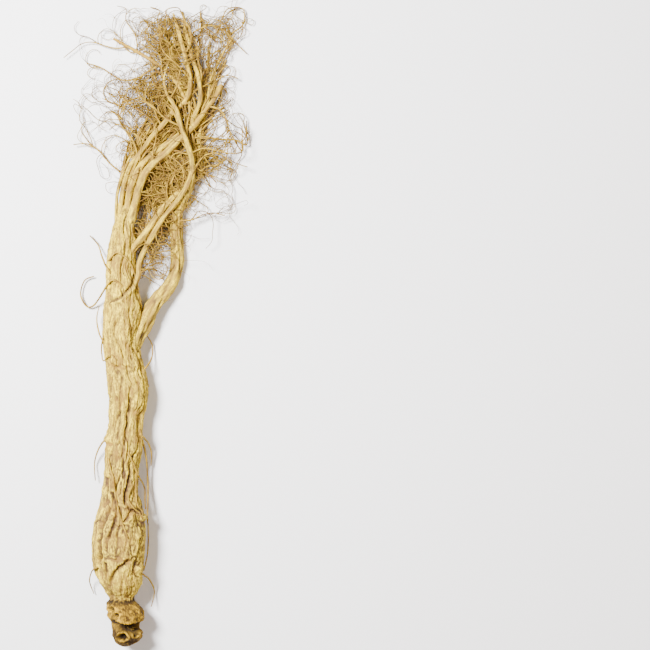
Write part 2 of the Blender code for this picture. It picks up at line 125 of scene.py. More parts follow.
def ringFaces(start, rows, sides, flipped=False):
    # faces between rings of points, and a lid on each end; flipped where the rings turn the other way
    faces = []
    for here in range(start, start + (rows - 1) * sides, sides):
        for j in range(sides):
            k = (j + 1) % sides
            face = (here + j, here + k, here + sides + k, here + sides + j)
            faces.append((face[0], *face[:0:-1]) if flipped else face)
    forth = range(sides)
    back = forth[::-1]
    last = start + (rows - 1) * sides
    faces.append(tuple(start + j for j in (forth if flipped else back)))
    faces.append(tuple(last + j for j in (back if flipped else forth)))
    return faces


def makeObject(name, points, faces, masks, material):
    mesh = bpy.data.meshes.new(name)
    world = np.array(points, dtype=float)
    world[:, 0] += neckPlace[0]
    world[:, 1] += neckPlace[1]
    mesh.from_pydata((world * mm).tolist(), [], faces)
    for maskName, values in masks.items():
        values = np.asarray(values, dtype=np.float32)
        kind = "FLOAT_VECTOR" if values.ndim == 2 else "FLOAT"
        layer = mesh.attributes.new(maskName, kind, "POINT")
        layer.data.foreach_set("vector" if values.ndim == 2 else "value", values.ravel())
    mesh.shade_smooth()
    mesh.materials.append(material)
    mesh.validate()
    obj = addToScene(name, mesh)
    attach(obj, "root")
    return obj


# materials: the colour inputs of the skin group, and where each is in a look
skinColours = {
    "Ridge Colour": "ridge", "Furrow Colour": "furrowAndShade", "Stain Colour": "stain",
    "Head Ridge Colour": "headRidge", "Head Furrow Colour": "headFurrowAndShade",
    "Head Stain Colour": "headStainAndShade",
}
skinPattern = {
    # how close each pattern is across the root and along it, and its detail
    "coarse": (0.75, 0.2, 4), "fine": (3.4, 1.1, 5), "lines": (1.2, 0.15, 3),
    "blotch": (0.2, 0.13, 4),
    "noiseRoughness": 0.62,
    # where a pattern begins to darken the skin, where it is at its darkest, and its share
    "coarseDark": (0.42, 0.60, 0.62), "fineDark": (0.43, 0.60, 0.44), "blotchDark": (0.42, 0.64, 0.34),
    "lineWidth": 0.035, "lineDark": 0.80,
    "stainShare": 0.60,
    "furrowRoughness": 0.15,
    "fineHeight": 0.7, "coarseHeight": 0.3,
}


def setInputs(node, values):
    for name, value in values.items():
        node.inputs[name].default_value = value


def buildSkinGroup():
    # pale ridges, tan furrows with painted shade in them, and brown stains, all streaked along the root
    group = bpy.data.node_groups.new("streakedSkin", "ShaderNodeTree")
    sockets = [(name, "INPUT", "Color") for name in skinColours]
    sockets += [(name, "INPUT", "Float") for name in ("Streak Size", "Roughness")]
    sockets += [("Colour", "OUTPUT", "Color")]
    sockets += [(name, "OUTPUT", "Float") for name in ("Roughness", "Height")]
    for name, direction, kind in sockets:
        group.interface.new_socket(name=name, in_out=direction, socket_type="NodeSocket" + kind)
    nodes, links = group.nodes, group.links
    inputs = nodes.new("NodeGroupInput")
    outputs = nodes.new("NodeGroupOutput")

    def mask(name):
        node = nodes.new("ShaderNodeAttribute")
        node.attribute_type = "GEOMETRY"
        node.attribute_name = name
        return node.outputs["Vector" if name == "grain" else "Fac"]

    def streaks(pattern):
        across, lengthwise, detail = skinPattern[pattern]
        mapping = nodes.new("ShaderNodeMapping")
        setInputs(mapping, {"Scale": (across, across, lengthwise)})
        scaled = nodes.new("ShaderNodeVectorMath")
        scaled.operation = "SCALE"
        links.new(mask("grain"), scaled.inputs["Vector"])
        links.new(inputs.outputs["Streak Size"], scaled.inputs["Scale"])
        links.new(scaled.outputs["Vector"], mapping.inputs["Vector"])
        noise = nodes.new("ShaderNodeTexNoise")
        setInputs(noise, {"Scale": 1, "Detail": detail, "Roughness": skinPattern["noiseRoughness"]})
        links.new(mapping.outputs["Vector"], noise.inputs["Vector"])
        return noise.outputs["Fac"]

    def sharpened(value, low, high):
        ramp = nodes.new("ShaderNodeMapRange")
        setInputs(ramp, {"From Min": low, "From Max": high})
        links.new(value, ramp.inputs["Value"])
        return ramp.outputs["Result"]

    def thinLines(value):
        # narrow lines where the noise crosses its middle
        low, high = 0.5 - skinPattern["lineWidth"], 0.5 + skinPattern["lineWidth"]
        return maths("MULTIPLY", sharpened(value, low, 0.5), sharpened(value, high, 0.5))

    def maths(kind, first, second):
        node = nodes.new("ShaderNodeMath")
        node.operation = kind
        node.use_clamp = True
        for socket, value in zip(node.inputs, (first, second)):
            if isinstance(value, (int, float)):
                socket.default_value = value
            else:
                links.new(value, socket)
        return node.outputs["Value"]

    def darkened(first, second, share):
        # adds a share of the second to the first, less where the first is already strong
        room = maths("MULTIPLY", maths("SUBTRACT", 1, first), share)
        return maths("ADD", first, maths("MULTIPLY", second, room))

    def mixed(factor, first, second):
        node = nodes.new("ShaderNodeMix")
        node.data_type = "RGBA"
        links.new(factor, node.inputs["Factor"])
        links.new(first, node.inputs[6])
        links.new(second, node.inputs[7])
        return node.outputs[2]

    def headMixed(name):
        return mixed(mask("head"), inputs.outputs[name], inputs.outputs["Head " + name])

    coarse, fine, blotch = streaks("coarse"), streaks("fine"), streaks("blotch")
    # the mask of furrows: tan in them, with painted shade in furrows, folds, grooves and hollows; the
    # patterns below add the skin's own mottling
    furrowAndShade = mask("furrowAndShade")
    for value, name in ((coarse, "coarseDark"), (fine, "fineDark"), (blotch, "blotchDark")):
        low, high, share = skinPattern[name]
        furrowAndShade = darkened(furrowAndShade, sharpened(value, low, high), share)
    furrowAndShade = darkened(furrowAndShade, thinLines(streaks("lines")), skinPattern["lineDark"])
    worn = maths("ADD", sharpened(fine, 0.25, 0.6), 0.35)
    # the stain mask holds brown stains on the root, and on the head painted shade in the cups, under
    # torn edges and at the neck
    stain = maths("MULTIPLY", mask("stain"), worn)
    brownPatch = maths("MULTIPLY", sharpened(blotch, 0.44, 0.60), sharpened(coarse, 0.40, 0.6))
    stain = darkened(stain, brownPatch, skinPattern["stainShare"])
    skin = mixed(furrowAndShade, headMixed("Ridge Colour"), headMixed("Furrow Colour"))
    skin = mixed(stain, skin, headMixed("Stain Colour"))
    links.new(skin, outputs.inputs["Colour"])
    rougher = maths("MULTIPLY", furrowAndShade, skinPattern["furrowRoughness"])
    links.new(maths("ADD", inputs.outputs["Roughness"], rougher), outputs.inputs["Roughness"])
    fineRise = maths("MULTIPLY", fine, skinPattern["fineHeight"])
    coarseRise = maths("MULTIPLY", coarse, skinPattern["coarseHeight"])
    links.new(maths("ADD", fineRise, coarseRise), outputs.inputs["Height"])
    return group


def makeSkinMaterial(name, look):
    material = bpy.data.materials.new(name)
    material.use_nodes = True
    nodes, links = material.node_tree.nodes, material.node_tree.links
    shader = nodes["Principled BSDF"]
    skin = nodes.new("ShaderNodeGroup")
    skin.node_tree = skinGroup
    setInputs(skin, {name: (*look[key], 1) for name, key in skinColours.items() if key in look})
    setInputs(skin, {"Streak Size": look["streaks"], "Roughness": look["roughness"]})
    bump = nodes.new("ShaderNodeBump")
    setInputs(bump, {"Strength": look["bump"], "Distance": look["bumpDepth"] * mm})
    links.new(skin.outputs["Colour"], shader.inputs["Base Color"])
    links.new(skin.outputs["Roughness"], shader.inputs["Roughness"])
    links.new(skin.outputs["Height"], bump.inputs["Height"])
    links.new(bump.outputs["Normal"], shader.inputs["Normal"])
    setInputs(shader, {"Specular IOR Level": look["gloss"]})
    return material


# in each look the colour of the furrows is dark enough to paint the shade in them, in grooves and in
# hollows
rootLook = {
    "ridge": (0.95, 0.69, 0.030), "furrowAndShade": (0.074, 0.038, 0.017), "stain": (0.32, 0.18, 0.024),
    "headRidge": (0.56, 0.32, 0.006), "headFurrowAndShade": (0.048, 0.023, 0.002),
    # the head's stain colour, near black, paints the shade in its cups, under its torn edges and at the
    # neck
    "headStainAndShade": (0.012, 0.006, 0.001),
    "streaks": 1, "roughness": 0.74, "bump": 1, "bumpDepth": 0.32, "gloss": 0.22,
}
branchLook = {
    "ridge": (0.89, 0.64, 0.030), "furrowAndShade": (0.09, 0.05, 0.018), "stain": (0.32, 0.18, 0.024),
    "streaks": 1.5, "roughness": 0.74, "bump": 1, "bumpDepth": 0.2, "gloss": 0.25,
}
rootletLook = {
    "ridge": (0.60, 0.39, 0.024), "furrowAndShade": (0.095, 0.052, 0.011), "stain": (0.15, 0.068, 0.012),
    "streaks": 2.6, "roughness": 0.7, "bump": 0.6, "bumpDepth": 0.07, "gloss": 0.2,
}
skinGroup = buildSkinGroup()
rootSkin = makeSkinMaterial("rootSkin", rootLook)
branchSkin = makeSkinMaterial("branchSkin", branchLook)
rootletSkin = makeSkinMaterial("rootletSkin", rootletLook)
print("materials made")

# main root
mainRoot = {
    "depthToWidth": 0.88,
    "rows": 440,
    "columns": 224,
    "capLength": 1.6,  # the head's end is rounded off over this
    # noise over the skin: its size across the root and along it, and its shift
    "noise": [(3.6, 8.5, 3.7), (1.8, 4.2, 31), (0.8, 1.7, 57), (0.45, 0.7, 71)],
    "noiseHeights": (0.36, 0.26, 0.18, 0.09),
    # patches where ridges show: size across, size along, shift, noise at none and at all
    "patches": [
        (4.2, 7, 93, -0.45, 0.35), (2.6, 4, 113, -0.35, 0.4), (3.4, 4.4, 133, -0.1, 0.5),
    ],
    # ridges: how many, softness, height, mean level, how dark their valleys are, with tan and painted
    # shade
    "ridges": {
        "broad": (9, 0.34, 1.45, 0.80, 0.9), "mid": (26, 0.42, 0.90, 0.75, 1.1),
        "thin": (60, 0.55, 0.45, 0.65, 0.6), "cross": (3.1, 0.4, 0.30, 0.75, 0.4),
    },
    # painted shade in folds and grooves and round the edge of each swelling, and a painted highlight on
    # the swellings
    "foldShade": 0.8, "grooveShade": 1.3, "lobeHighlight": 0.55, "lobeEdgeShade": 0.5,
    "underShare": 0.25,  # how much flatter the skin is where the root lies
    # painted shadow in the gap where the root narrows to the neck
    "neckShadow": 0.95,
    # along, side, half width, height of the centre line
    "stations": [
        (-17.6, 1.6, 2.2, 8.4), (-16.2, 1.9, 4, 8.3), (-13.2, 2.3, 5.4, 8.1), (-10.9, 1.7, 4.7, 8.1),
        (-9.2, 1.6, 5.3, 8.1), (-7.2, 1.6, 6.5, 8.1), (-4.4, 1.6, 6.2, 8), (-1.6, 0.6, 4.6, 7.8),
        (0, 0.5, 4.2, 7.8), (2, 0, 5.6, 7.8), (5.4, -0.3, 7.7, 7.8), (10.9, -1, 8.9, 7.8),
        (18, -0.9, 9.6, 7.9), (27, -0.6, 9.1, 7.9), (33, -0.1, 7.9, 7.6), (38, -0.5, 6.5, 7.2),
        (45, -0.1, 6.1, 6.8), (54, 0.7, 6.6, 6.5), (65, 1.4, 6.2, 6), (72.8, 2.4, 7.1, 5.8),
        (78.2, 1.9, 7.3, 5.8), (86, 0.6, 6.5, 5.8), (95, -0.4, 6.5, 5.9), (105, 0.3, 6.8, 6.2),
        (113, 0.1, 5.7, 6), (121, -0.3, 5.3, 5.8), (131, 0.3, 4.6, 5.6), (137, 0.6, 3.5, 5.5),
        (141, 1.3, 2.1, 5.3), (144.6, 2.3, 0.5, 5.2),
    ],
    # width, depth, raised lip on its left, run as side and along
    "grooves": [
        (0.70, 2.2, 0.3, [(-5.2, 43.2), (-4.8, 35.7), (-3.6, 33), (-4.8, 29.5), (-5.9, 27.2),
                          (-6.5, 23.5), (-6.8, 17.7), (-7.2, 12)]),
        (0.65, 2, 0.2, [(-2.6, 38), (-0.6, 33.7), (-0.8, 30.3), (-1.9, 26.9), (-3.3, 23.1)]),
        (0.40, 0.6, 0.1, [(-3.3, 23.1), (-4.2, 20), (-4, 17.4)]),
        (0.55, 1, 0.2, [(3.7, 44.5), (3, 40.5), (2.4, 38), (2.2, 34.5)]),
        (0.45, 1.1, 0.6, [(7.4, 30.6), (5.8, 32), (4.1, 31.6), (2.4, 28.6)]),
        (0.35, 0.6, 0.2, [(-1.4, 27.5), (0.2, 27), (1.9, 27.3)]),
        (0.40, 0.6, 0.2, [(-8.9, 27.3), (-7.6, 28.4), (-6.4, 28)]),
        (0.35, 0.45, 0.10, [(-3.8, 15.9), (-1.8, 14.6), (0.6, 15), (3, 14.3), (5.8, 15.8)]),
        (0.60, 1.6, 0.3, [(-2.4, 0.5), (-3.2, 3.7), (-3.2, 7.1), (-1.4, 10.2), (1.2, 12.6),
                          (3.6, 14.2)]),
        (0.60, 1.6, 0.3, [(-7.4, 14), (-6.4, 9), (-4.6, 4.4), (-3.2, 1.4)]),
        (0.55, 1.3, 0.2, [(-8.4, 11), (-7.6, 6.6), (-5.2, 2.8)]),
        (0.55, 1.4, 0.2, [(-4.9, 13), (-4.8, 9), (-3.9, 4.6)]),
        (0.60, 1, 0, [(-4.4, -0.9), (-1.6, -1.3), (1.4, -0.7), (5, -1.1)]),
        (0.35, 0.5, 0.1, [(4.6, 5.6), (4, 2.6), (2.6, 0.6)]),
        (0.30, 0.7, 0, [(6.2, 13.4), (5.3, 11), (5.4, 8.6), (6.6, 7.8)]),
        (0.35, 0.5, 0.1, [(1.4, 7.4), (0.8, 3.6), (0.6, 0.8)]),
        (0.55, 1, 0.6, [(4.9, 117), (4.2, 113.6), (1.6, 110), (-2.9, 107.4)]),
        (0.40, 0.5, 0.1, [(-3.9, 90.6), (-4.1, 86.6), (-2.4, 83.4), (0.6, 84.6), (4.4, 83.4)]),
        (0.50, 0.7, 0.2, [(-3, 80), (-4.4, 72), (-3.6, 66)]),
        (0.55, 0.8, 0.2, [(0.6, 80), (-0.6, 72), (0.2, 66.4), (-1.2, 58)]),
        (0.55, 0.9, 0.2, [(4, 72), (2.6, 62), (1.2, 52), (1.6, 44)]),
    ],
    # torn edges on the head, with painted shade below them: width, depth, height of the lip, run
    "tears": [
        (3, 3.8, 1.2, [(-4.6, -1.8), (-3.6, -4.6), (-2, -6.8), (0.4, -8.2), (3, -9), (6.6, -8.6)]),
        (1, 1.4, 0.6, [(3, -10.4), (4.6, -11.4), (7, -11)]),
    ],
    # along, angle round it, spread in degrees, width, depth
    "folds": [
        (14.6, 90, 32, 0.5, 0.7), (15.9, 85, 26, 0.4, 0.5), (32.3, 45, 36, 0.6, 1),
        (46, 300, 60, 0.8, 0.4), (60.5, 160, 45, 0.8, 0.4), (83.6, 95, 60, 0.55, 0.7),
        (99, 200, 50, 0.8, 0.4), (124, 60, 60, 0.6, 0.4), (26, 100, 30, 0.4, 0.3),
    ],
    # side, along, radius, height, upper side
    "scars": [
        (-4.3, -9, 1.5, 1.3, True), (5.3, -12, 2.2, 1.2, True), (2.4, -8, 2.2, -1.6, False),
        (-0.1, 13.4, 0.7, 0.7, True), (-7.6, 14.4, 0.9, -1.4, True), (6.4, 22.9, 1, 0.5, True),
        (-4.9, 57.5, 1, 1.1, True), (-3.7, 55.8, 0.7, -0.9, True), (-2.7, 86, 1.1, 1.2, True),
        (0, 112.2, 1.6, 0.9, True), (4.5, 68, 1.4, -0.8, True), (7, 11.4, 1.2, 0.6, True),
    ],
    # stem scars: side, along, half width, half length, turn, depth, rim, how dark the painted shade
    # inside is
    "cups": [
        (-2.2, -3.6, 1.2, 0.8, -25, 1.6, 0.3, 0.95), (-0.6, -5.4, 1, 0.7, -35, 1.4, 0.3, 0.95),
        (-3, -5.4, 0.5, 0.8, 0, 1, 0.2, 0.8), (-3.3, -8, 1.4, 2, 25, 0.9, 0, 0.95),
        (1.2, -13.6, 2, 1.5, 5, 2.2, 1.5, 0.95), (5.6, -12.8, 1.2, 0.9, 30, 0.8, 0.5, 0.7),
    ],
    # smooth swellings: side, along, half width, half length, turn, height
    "lobes": [
        (2.9, 6.2, 4.9, 6.8, 8, 0.7), (-6.9, 7.2, 1.1, 4.4, 24, 0.8), (-5.3, 6, 0.8, 4, 24, 0.8),
        (-3.7, 6.4, 0.6, 3.8, 14, 0.5), (-8.2, 19, 0.9, 5, -4, 0.5), (-5.2, 20.5, 0.8, 4.6, 6, 0.4),
        (4.4, 29.6, 1.7, 1.2, 35, 0.6), (7.9, 29.4, 0.9, 1.5, 10, 1.2), (6.4, 10.8, 0.7, 1.5, 24, 0.8),
    ],
    # how much the ridges show: along, share
    "ridged": [(0, 0.45), (14, 0.5), (26, 0.65), (34, 0.95), (50, 1), (145, 1)],
    # darkening of the skin, which over the waist is painted shade, and how dark the painted shade in its
    # hollows is: along, tone, strength
    "tone": [
        (0, -0.06, 0.65), (8, -0.14, 0.5), (14, 0.26, 1.1), (24, 0.66, 1.6), (33, 0.76, 1.7),
        (42, 0.66, 1.7), (50, 0.30, 1.1), (60, 0, 0.65), (76, 0.04, 0.6), (84, -0.02, 0.5),
        (100, -0.08, 0.5), (120, -0.02, 0.6), (145, 0.04, 0.8),
    ],
    # side, along, radius sideways, radius lengthwise, strength
    "stains": [
        (0.7, 14.8, 4.2, 0.9, 0.6), (2.4, 21.8, 3, 2.4, 0.5), (0, 83.6, 5, 0.8, 0.5),
        (-2.9, 84.6, 0.9, 1, 0.9), (4.2, 126.4, 1.1, 1.3, 0.95), (5.6, 67.4, 1, 0.8, 0.95),
        (3.2, 66.6, 0.8, 0.7, 0.7), (2.9, 53.2, 0.9, 0.7, 0.7), (6, 56.4, 0.8, 0.6, 0.7),
        (-3.8, 55.9, 0.8, 0.7, 0.9), (-7.6, 14.4, 1, 1.2, 0.9), (0.4, 113.4, 1.6, 1.2, 0.4),
        (-5.6, 33, 2.4, 2, 0.35), (5, 31, 2.2, 1, 0.5), (0, 97, 1, 0.8, 0.3),
    ],
}


def stationAt(along):
    # side, half width and centre height, on the same curve as the solid's
    rows = np.array(mainRoot["stations"])
    last = len(rows) - 1
    i = np.clip(np.searchsorted(rows[:, 0], along) - 1, 0, last - 1)
    a, b, c, d = (rows[np.clip(i + k, 0, last), 1:] for k in (-1, 0, 1, 2))
    t = np.clip((along - rows[i, 0]) / (rows[i + 1, 0] - rows[i, 0]), 0, 1)[:, None]
    return curveBetween(a, b, c, d, t).T


def ridgeLines(angle, ridges, warp, softness):
    # rounded ridges round the root with narrow valleys: their height, and lines where they meet
    valley = np.abs(np.sin(0.5 * ridges * angle + warp))
    return 1 - np.exp(-valley / softness), np.exp(-((valley / (0.40 * softness)) ** 2))


def skinRelief(round3, angle, side, along, upper):
    # height of the skin over the plain round root, and how dark each point is, with tan and painted
    # shade in valleys, folds and grooves and a painted highlight on swellings
    swing = np.sin(along / 11 + 1.7 * np.sin(angle)) + 0.5 * np.sin(along / 4.7 + 2 * angle)
    noises = [softNoise(stretched(round3, *size)) for size in mainRoot["noise"]]
    wide, close, tiny, grit = noises
    ridged = np.interp(along, *np.array(mainRoot["ridged"]).T)
    patches = []
    for across, lengthwise, shift, none, full in mainRoot["patches"]:
        patches.append(ease(none, full, softNoise(stretched(round3, across, lengthwise, shift))))
    broadPatch, midPatch, crossPatch = patches[0] * ridged, patches[1] * ridged, patches[2]
    # of each set of ridges: what it runs round, how it winds, where it shows, where its valleys get tan
    # and painted shade
    layers = {
        "broad": (
            angle, 1.1 * swing + 1.5 * wide + 0.5 * close, 0.35 * ridged + 0.65 * broadPatch, broadPatch,
        ),
        "mid": (angle, 3.4 * wide + 1.9 * close + 0.5 * tiny, 0.25 + 0.75 * midPatch, midPatch),
        "thin": (angle, 6 * wide + 4.4 * close + 1.8 * tiny, 1 - 0.5 * broadPatch, 1),
        "cross": (along, 2.6 * close + 2.2 * wide + 0.8 * tiny, crossPatch, crossPatch),
    }
    height, furrowAndShade = np.zeros(len(along)), 0.3 * ease(0.1, -0.6, wide + 0.6 * close)
    for name, (around, warp, share, darkShare) in layers.items():
        count, softness, rise, level, dark = mainRoot["ridges"][name]
        top, line = ridgeLines(around, count, warp, softness)
        height += rise * share * (top - level)
        furrowAndShade += dark * darkShare * line
    height += sum(share * noise for share, noise in zip(mainRoot["noiseHeights"], noises))
    for foldAlong, foldAngle, spread, width, depth in mainRoot["folds"]:
        off = (np.degrees(angle) - foldAngle + 180) % 360 - 180
        waver = 0.8 * np.sin(np.radians(off) * 2.5) + 0.9 * close
        shape = np.exp(-((off / spread) ** 2) - ((along - foldAlong - waver) / width) ** 2)
        height -= depth * shape
        # painted shade in the fold
        furrowAndShade += mainRoot["foldShade"] * depth * shape
    for lobeSide, lobeAlong, across, lengthwise, turn, rise in mainRoot["lobes"]:
        reach = ovalReach(side, along, lobeSide, lobeAlong, across, lengthwise, turn)
        reach = reach + 0.10 * close + 0.12 * wide + 0.05 * tiny
        swelling = upper * rise * np.exp(-reach ** 4)
        edge = upper * rise * np.exp(-(((reach - 1.12) / 0.13) ** 2))
        height += swelling
        # painted shade round the swelling's edge, and a painted highlight on it
        furrowAndShade += mainRoot["lobeEdgeShade"] * edge - mainRoot["lobeHighlight"] * swelling
    for width, depth, lip, run in mainRoot["grooves"]:
        away, sign = distanceToRun(side + 0.35 * tiny, along + 0.5 * close, run)
        shape = upper * np.exp(-((away / width) ** 2))
        lipShape = upper * np.exp(-(((away - 1.6 * width) / width) ** 2)) * (sign > 0)
        height += lip * lipShape - depth * shape
        # painted shade in the groove
        furrowAndShade += mainRoot["grooveShade"] * shape
    return height, furrowAndShade


def scarRelief(side, along, upper):
    height = np.zeros(len(side))
    for scarSide, scarAlong, radius, scarHeight, onTop in mainRoot["scars"]:
        reach = np.hypot(side - scarSide, along - scarAlong) / radius
        height += scarHeight * np.exp(-reach ** 2) * (upper if onTop else 1 - upper)
    return height


def ovalReach(side, along, ovalSide, ovalAlong, across, lengthwise, turn):
    # how far out from the middle of a turned oval: 1 on its edge
    cosine, sine = math.cos(math.radians(turn)), math.sin(math.radians(turn))
    u = (side - ovalSide) * cosine + (along - ovalAlong) * sine
    v = (along - ovalAlong) * cosine - (side - ovalSide) * sine
    return np.hypot(u / across, v / lengthwise)


def cupRelief(side, along, upper, roughness):
    # stem scars: hollow cups with a torn rim; how high, how much painted shade inside them and under
    # torn edges, how pale on the rim
    height, dark, pale = np.zeros(len(side)), np.zeros(len(side)), np.zeros(len(side))
    for cupSide, cupAlong, across, lengthwise, turn, depth, rim, innerShade in mainRoot["cups"]:
        reach = ovalReach(side, along, cupSide, cupAlong, across, lengthwise, turn) + 0.14 * roughness
        spokes = np.sin(9 * np.arctan2(along - cupAlong, side - cupSide) + 5 * roughness)
        inside = 1 - ease(0.55, 0.95, reach)
        ring = np.exp(-(((reach - 1.05) / 0.17) ** 2)) * (0.75 + 0.25 * spokes)
        height += upper * (rim * ring - depth * inside * (1 + 0.12 * spokes))
        dark = np.maximum(dark, upper * innerShade * inside)
        pale = np.maximum(pale, upper * ring)
    for width, depth, lip, run in mainRoot["tears"]:
        away, sign = distanceToRun(side, along + 0.3 * roughness, run)
        signed = away * sign / width  # above nought is the side with the lip
        drop = ease(0.05, -0.22, signed) * np.exp(-((np.minimum(signed, 0) / 0.95) ** 4))
        edge = ease(-0.1, 0.05, signed) * np.exp(-np.maximum(signed, 0) / 0.55)
        height += upper * (lip * edge * (1 + 0.25 * roughness) - depth * drop)
        dark = np.maximum(dark, upper * drop * (0.92 + 0.25 * roughness))
        pale = np.maximum(pale, upper * ease(0.25, 0.75, edge))
    return height, dark, pale


def hollowness(height, rows, columns, reach):
    # how far each point lies below the average of the skin around it
    grid = height.reshape(rows, columns)
    around = grid
    for axis in (0, 1):
        around = sum(np.roll(around, k, axis) for k in range(-reach, reach + 1)) / (2 * reach + 1)
    return (around - grid).ravel()


def buildMainRoot():
    rows, columns = mainRoot["rows"], mainRoot["columns"]
    first, last = mainRoot["stations"][0][0] - 0.4, mainRoot["stations"][-1][0]
    along1 = np.linspace(first, last, rows)
    angle1 = np.linspace(0, 2 * math.pi, columns, endpoint=False)
    along, angle = (grid.ravel() for grid in np.meshgrid(along1, angle1, indexing="ij"))
    centreSide, halfWidth, centreHeight = stationAt(along)
    closing = np.clip((along - first) / mainRoot["capLength"], 0, 1)
    halfWidth = halfWidth * np.sqrt(np.clip(1 - (1 - closing) ** 2, 0, 1))
    cosine, sine = np.cos(angle), np.sin(angle)
    side = centreSide + halfWidth * cosine
    upper = ease(-0.1, 0.15, sine)
    round3 = np.stack([halfWidth * cosine, halfWidth * sine, along], axis=1)
    body = ease(-1.2, 2.4, along)
    taper = np.clip((halfWidth - 0.4) / 4.5, 0, 1)
    full = np.minimum(1, 2 * taper)
    under = mainRoot["underShare"] * ease(0.82, 0.97, -sine) * body
    height, furrowAndShade = skinRelief(round3, angle, side, along, upper)
    knobs = softNoise(stretched(round3, 3, 2.4))
    fibres = softNoise(stretched(round3, 0.5, 2.6, 9) + 0.5 * knobs[:, None])
    chips = softNoise(stretched(round3, 0.9, 0.8, 19))
    cups, dark, pale = cupRelief(side, along, upper, 0.6 * fibres + 0.8 * chips)
    headHeight = 0.6 * knobs + 0.34 * np.abs(fibres) + 0.14 * chips
    relief = body * (0.25 + 0.75 * taper) * height * (1 - under) + (1 - body) * full * headHeight
    relief += (scarRelief(side, along, upper) + cups) * full * (1 - under)
    radius = np.maximum(halfWidth + relief, 0.02)
    height = np.maximum(centreHeight + radius * sine * mainRoot["depthToWidth"], 0.05)
    points = np.stack([centreSide + radius * cosine, along, height], axis=1)
    stain = np.zeros(len(along))
    for stainSide, stainAlong, across, lengthwise, strength in mainRoot["stains"]:
        spot = ((side - stainSide) / across) ** 2 + ((along - stainAlong) / lengthwise) ** 2
        stain = np.maximum(stain, strength * upper * np.exp(-spot))
    hidden = softNoise(stretched(round3, 3.4, 4, 83))
    stain = np.maximum(stain, 0.5 * ease(0.5, 0.85, hidden))
    # the darkening along the root, painted shade over the waist, and the strength of the painted shade
    # in hollows
    places, tones, strengths = np.array(mainRoot["tone"]).T
    tone, strength = np.interp(along, places, tones), np.interp(along, places, strengths)
    # painted shade: skin lying below the skin around it is darkened
    fineHollow = hollowness(relief, rows, columns, 2) / 0.10
    wideHollow = hollowness(relief, rows, columns, 6) / 0.35
    hollow = 0.45 * np.clip(fineHollow, -0.8, 1.6) + 0.55 * np.clip(wideHollow, -0.8, 1.6)
    furrowAndShade = strength * (furrowAndShade + hollow)
    lower = ease(-6, -12, along)
    head = ease(0.9, -0.9, along + 0.8 * chips + 0.6 * knobs)
    # on the head: darker towards its far end, paler on torn rims, and painted shade in its hollows
    headFurrowAndShade = 0.52 + 0.22 * lower - 0.5 * chips - 0.4 * knobs - 1.1 * pale
    headFurrowAndShade = np.clip(headFurrowAndShade + 0.4 * np.clip(fineHollow, -0.6, 1.2), 0, 1)
    furrowAndShade = (1 - head) * (1 - np.exp(-1.4 * np.maximum(furrowAndShade + tone, 0))) + head * headFurrowAndShade
    # painted shadow in the gap at the neck
    neckShade = mainRoot["neckShadow"] * np.exp(-(((along + 1 + 0.5 * chips) / 0.9) ** 2))
    cracks = 0.5 * ease(0.3, 0.9, -fibres - chips)
    # the head's stain mask: painted shade in the cups, under the torn edges and at the neck, and its
    # dark cracks
    headShadeAndCracks = np.clip(np.maximum(dark, neckShade) + cracks, 0, 1)
    stain = (1 - head) * stain + head * headShadeAndCracks
    faces = ringFaces(0, rows, columns)
    masks = {"grain": round3, "furrowAndShade": furrowAndShade, "stain": stain, "head": head}
    return makeObject("mainRoot", points, faces, masks, rootSkin), points, faces


mainRootPiece, mainRootPoints, mainRootFaces = buildMainRoot()
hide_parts("ginseng_root")
trunkSkin = BVHTree.FromPolygons(mainRootPoints.tolist(), mainRootFaces)
print("main root made")

